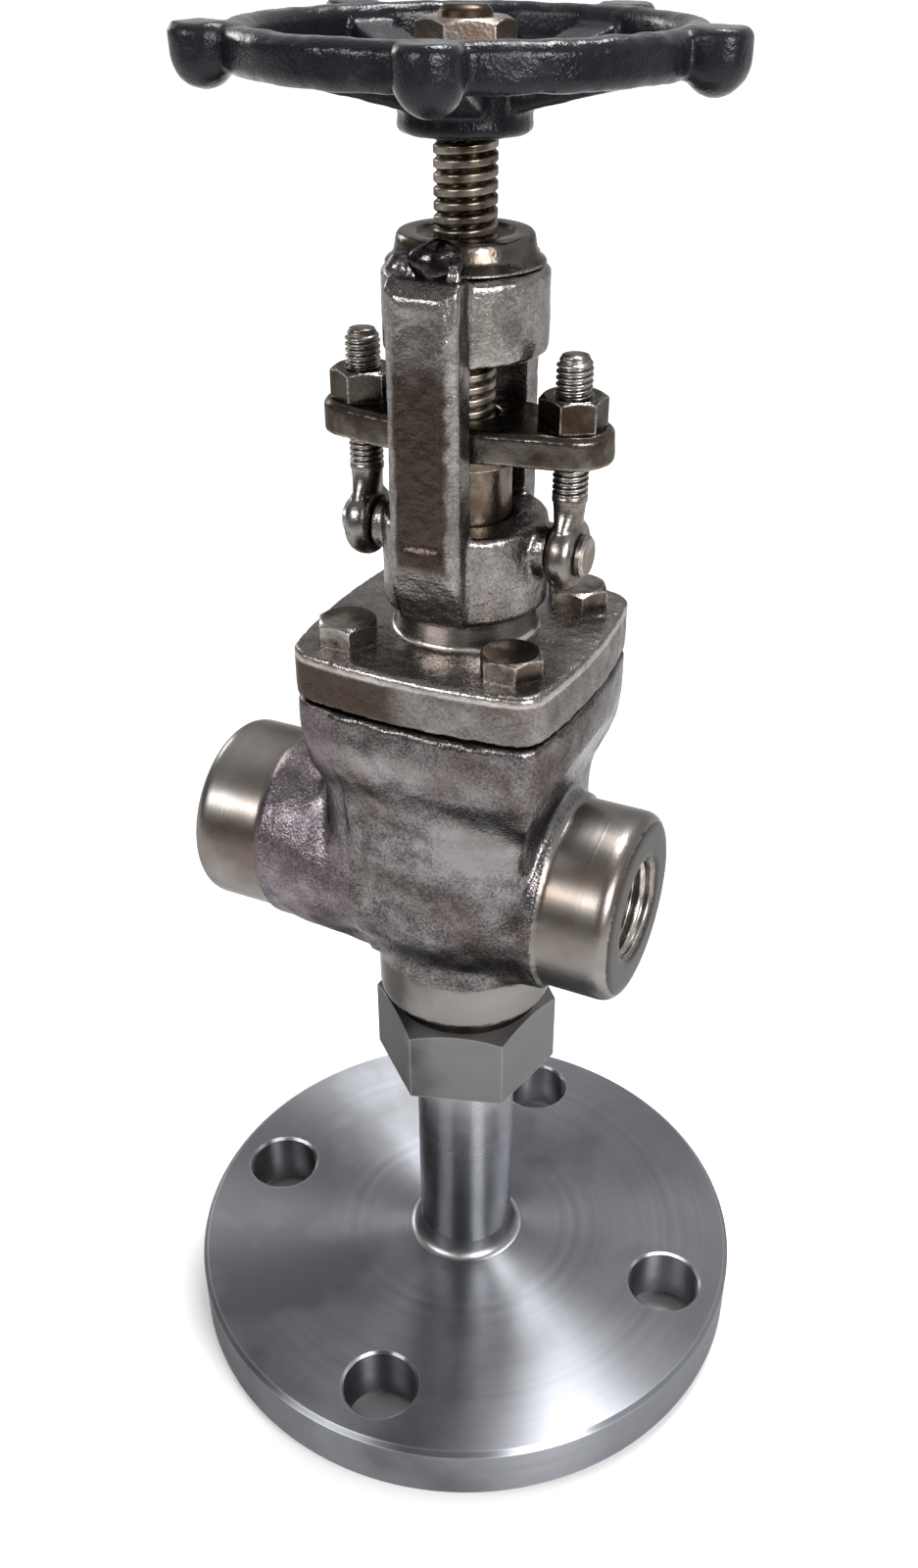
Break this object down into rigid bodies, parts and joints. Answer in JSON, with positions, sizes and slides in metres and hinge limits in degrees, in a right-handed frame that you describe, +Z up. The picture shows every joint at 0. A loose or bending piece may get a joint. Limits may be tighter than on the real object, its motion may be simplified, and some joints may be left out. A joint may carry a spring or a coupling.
{
  "type": "globe stop valve with flanged inlet and outside screw and yoke",
  "caption": "Forged stainless three-way stop valve: flanged inlet pipe below, two threaded side ports, bolted bonnet with yoke and gland, and a lobed handwheel that raises the stem.",
  "frame": {"origin": "centre of the bottom flange's gasket face, on the stem axis", "axes": "+Z up the stem axis, +X out of the short side port, -Y towards the viewer's side of the yoke"},
  "size_m": [0.125, 0.125, 0.2712],
  "materials": {
    "turned_stainless": "fine lathe marks",
    "weld_metal": "dressed smooth",
    "forged_stainless": "pickled forging skin with machined faces",
    "fastener_stainless": "rolled, slightly stained",
    "gland_steel": "satin with brown film",
    "trim_steel": "turned",
    "stem_steel": "oiled thread, brown film",
    "wound_gasket": "wound strip with graphite",
    "graphite_packing": "pressed graphite",
    "black_enamel": "gloss black paint on a casting",
    "worn_steel": "brown film worn bright at the edges"
  },
  "bodies": {
    "valve_frame": {"bottom_flange": "turned_stainless", "tail_pipe": "turned_stainless", "outer_weld": "weld_metal", "face_weld": "weld_metal", "hex_adapter": "turned_stainless", "valve_body": "forged_stainless", "seat_ring": "trim_steel", "bonnet_gasket": "wound_gasket", "bonnet_yoke": "forged_stainless", "bonnet_bolts": "fastener_stainless", "backseat_bush": "trim_steel", "packing_washer": "trim_steel", "packing_rings": "graphite_packing", "eyebolt_right": "fastener_stainless", "eyebolt_left": "fastener_stainless", "eyebolt_pin_right": "fastener_stainless", "eyebolt_pin_left": "fastener_stainless", "yoke_bush": "trim_steel", "bush_set_screw": "fastener_stainless"},
    "disc_assembly": {"disc": "trim_steel", "disc_retainer": "trim_steel"},
    "stem_and_wheel": {"stem": "stem_steel", "handwheel": "black_enamel", "handwheel_washer": "worn_steel", "handwheel_nut": "worn_steel"},
    "gland": {"gland_follower": "gland_steel", "gland_flange": "gland_steel"},
    "left_gland_nut": {"gland_nut_left": "fastener_stainless"},
    "right_gland_nut": {"gland_nut_right": "fastener_stainless"}
  },
  "joints": [
    {"name": "disc_lift", "type": "slide", "parent": "valve_frame", "child": "disc_assembly", "axis": [0, 0, 1], "range_m": [-0.006, 0.002]},
    {"name": "handwheel_turn", "type": "hinge", "parent": "disc_assembly", "child": "stem_and_wheel", "pos_m": [0, 0, 0.2544], "axis": [0, 0, 1], "range_deg": [-1080, 360]},
    {"name": "gland_adjust", "type": "slide", "parent": "valve_frame", "child": "gland", "axis": [0, 0, 1], "range_m": [-0.002, 0.001], "deforming": ["packing_rings"]},
    {"name": "left_nut_turn", "type": "hinge", "parent": "gland", "child": "left_gland_nut", "pos_m": [-0.0191, 0, 0.2124], "axis": [0, 0, 1], "range_deg": [-720, 360]},
    {"name": "right_nut_turn", "type": "hinge", "parent": "gland", "child": "right_gland_nut", "pos_m": [0.0191, 0, 0.2124], "axis": [0, 0, 1], "range_deg": [-720, 360]}
  ],
  "couplings": [
    {"joint": "disc_lift", "follows": "handwheel_turn", "m_per_rad": 0.0003183},
    {"joint": "left_nut_turn", "follows": "gland_adjust", "rad_per_m": 6283.2},
    {"joint": "right_nut_turn", "follows": "gland_adjust", "rad_per_m": 6283.2}
  ]
}
